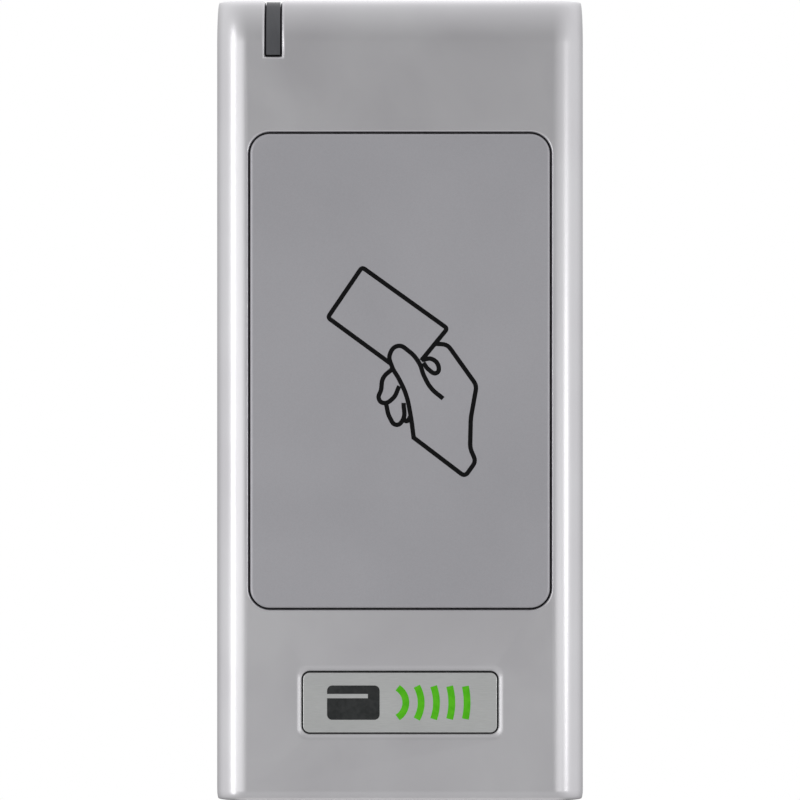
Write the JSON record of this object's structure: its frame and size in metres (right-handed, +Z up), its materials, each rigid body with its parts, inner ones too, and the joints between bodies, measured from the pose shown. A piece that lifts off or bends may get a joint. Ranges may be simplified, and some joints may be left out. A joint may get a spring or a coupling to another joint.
{
  "type": "rfid card reader",
  "caption": "Slim wall-mounted proximity card reader: metal housing, flat card window, light bar over its top edge, badge, and a wall plate it hangs on and is locked to from below.",
  "frame": {"origin": "on the wall plate's back face, behind the middle of the housing, so y = 0 is the wall", "axes": "+Z up, +Y into the wall, +X to the right of someone facing the reader; the card window faces -Y"},
  "size_m": [0.0506, 0.0224, 0.11],
  "materials": {
    "housing_metal": "die-cast zinc alloy, satin nickel plated",
    "window_paint": "satin silver-grey paint on polycarbonate",
    "seal_foam": "closed-cell foam",
    "badge_metal": "satin anodised",
    "adhesive": "double-sided adhesive pad",
    "smoked_acrylic": "smoked translucent acrylic, polished",
    "led_green": "clear tinted lens",
    "led_red": "clear tinted lens",
    "board_laminate": "glass-epoxy laminate with green solder mask",
    "screw_steel": "bright zinc plated",
    "copper_wire": "enamelled copper",
    "ferrite": "flexible ferrite sheet",
    "chip_plastic": "moulded epoxy",
    "can_metal": "drawn can",
    "black_plastic": "fine moulded texture",
    "header_plastic": "moulded nylon",
    "tinned_pin": "tin plated",
    "black_rubber": "moulded rubber",
    "label_foil": "blank silver foil label",
    "plate_steel": "galvanised sheet"
  },
  "bodies": {
    "wall_plate": {"wall_plate": "plate_steel", "lock_nut": "screw_steel"},
    "reader": {"front_housing": "housing_metal", "window_panel": "window_paint", "window_seal": "seal_foam", "badge_plate": "badge_metal", "badge_adhesive": "adhesive", "light_bar": "smoked_acrylic", "status_led_green": "led_green", "status_led_red": "led_red", "main_board": "board_laminate", "board_screw_1": "screw_steel", "board_screw_2": "screw_steel", "board_screw_3": "screw_steel", "board_screw_4": "screw_steel", "antenna_coil": "copper_wire", "antenna_lead_1": "copper_wire", "antenna_lead_2": "copper_wire", "ferrite_sheet": "ferrite", "microcontroller": "chip_plastic", "rf_chip": "chip_plastic", "voltage_regulator": "chip_plastic", "surge_diode": "chip_plastic", "crystal": "can_metal", "supply_capacitor": "can_metal", "filter_capacitor": "can_metal", "buzzer": "black_plastic", "cable_header": "header_plastic", "header_pin_1": "tinned_pin", "header_pin_2": "tinned_pin", "header_pin_3": "tinned_pin", "header_pin_4": "tinned_pin", "header_pin_5": "tinned_pin", "header_pin_6": "tinned_pin", "header_pin_7": "tinned_pin", "header_pin_8": "tinned_pin", "header_pin_9": "tinned_pin", "header_pin_10": "tinned_pin", "rear_seal": "black_rubber", "rear_cover": "black_plastic", "cover_screw_1": "screw_steel", "cover_screw_2": "screw_steel", "cover_screw_3": "screw_steel", "cover_screw_4": "screw_steel", "cable_grommet": "black_rubber", "rating_label": "label_foil"},
    "lock_ring": {"lock_screw_ring": "black_rubber"},
    "lock_screw": {"lock_screw": "screw_steel"}
  },
  "joints": [
    {"name": "reader_tilt", "type": "hinge", "parent": "wall_plate", "child": "reader", "pos_m": [0, -0.0003, 0.055], "axis": [-1, 0, 0], "range_deg": [0, 25]},
    {"name": "lock_screw_travel", "type": "slide", "parent": "reader", "child": "lock_ring", "axis": [0, 0, 1], "range_m": [0, 0.003]},
    {"name": "lock_screw_turn", "type": "hinge", "parent": "lock_ring", "child": "lock_screw", "pos_m": [0, -0.0052, -0.053], "axis": [0, 0, 1], "range_deg": [0, 2160]}
  ],
  "couplings": [
    {"joint": "lock_screw_turn", "follows": "lock_screw_travel", "rad_per_m": 12566}
  ]
}
